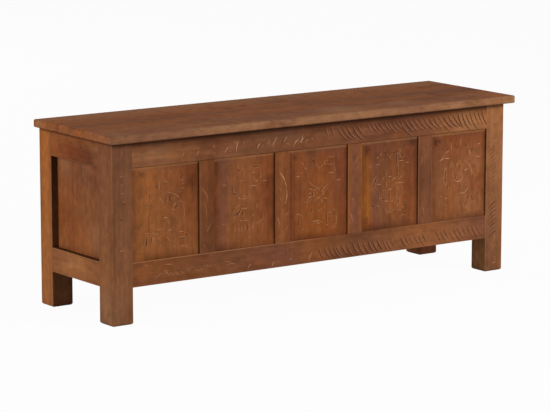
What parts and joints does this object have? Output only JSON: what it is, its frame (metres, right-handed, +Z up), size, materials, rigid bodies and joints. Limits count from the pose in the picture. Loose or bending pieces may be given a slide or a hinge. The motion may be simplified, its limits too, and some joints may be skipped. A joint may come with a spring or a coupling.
{
  "type": "coffer chest",
  "caption": "Long low joined wooden coffer chest with carved front panels between muntins, corner posts that run down as legs, and an overhanging plank lid hinged at the back.",
  "frame": {"origin": "on the floor, at the middle of the box that holds the whole chest with its lid closed", "axes": "+X along the chest to the right as seen from the carved front, +Y from the front to the back, +Z up"},
  "size_m": [1.2, 0.3592, 0.45],
  "materials": {
    "frame_wood": "satin lacquered brown hardwood, hand carved on the front",
    "panel_wood": "satin lacquered red-brown hardwood, hand carved on the front",
    "lid_wood": "satin lacquered brown hardwood boards",
    "inner_wood": "thinly finished plain hardwood",
    "hinge_brass": "aged brass",
    "screw_steel": "dull steel"
  },
  "bodies": {
    "carcass": {"bearer_screws": "screw_steel", "floor_board_1": "inner_wood", "floor_board_2": "inner_wood", "floor_board_3": "inner_wood", "floor_board_4": "inner_wood", "floor_board_5": "inner_wood", "floor_board_6": "inner_wood", "front_bottom_rail": "frame_wood", "front_floor_bearer": "inner_wood", "front_left_post": "frame_wood", "front_muntin_1": "frame_wood", "front_muntin_2": "frame_wood", "front_muntin_3": "frame_wood", "front_muntin_4": "frame_wood", "front_panel_1": "panel_wood", "front_panel_2": "panel_wood", "front_panel_3": "panel_wood", "front_panel_4": "panel_wood", "front_panel_5": "panel_wood", "front_right_post": "frame_wood", "front_top_rail": "frame_wood", "hinge_fixed_leaves": "hinge_brass", "hinge_fixed_screws": "screw_steel", "hinge_pins": "hinge_brass", "left_bottom_rail": "frame_wood", "left_panel": "panel_wood", "left_top_rail": "frame_wood", "rear_bottom_rail": "frame_wood", "rear_floor_bearer": "inner_wood", "rear_left_post": "frame_wood", "rear_muntin_1": "frame_wood", "rear_muntin_2": "frame_wood", "rear_panel_1": "panel_wood", "rear_panel_2": "panel_wood", "rear_panel_3": "panel_wood", "rear_right_post": "frame_wood", "rear_top_rail": "frame_wood", "right_bottom_rail": "frame_wood", "right_panel": "panel_wood", "right_top_rail": "frame_wood"},
    "lid": {"batten_screws": "screw_steel", "hinge_lid_leaves": "hinge_brass", "hinge_lid_screws": "screw_steel", "lid_batten_1": "inner_wood", "lid_batten_2": "inner_wood", "lid_batten_3": "inner_wood", "lid_board_1": "lid_wood", "lid_board_2": "lid_wood", "lid_board_3": "lid_wood"}
  },
  "joints": [
    {"name": "lid_hinge", "type": "hinge", "parent": "carcass", "child": "lid", "pos_m": [0, 0.17515, 0.43085], "axis": [-1, 0, 0], "range_deg": [0, 100]}
  ]
}
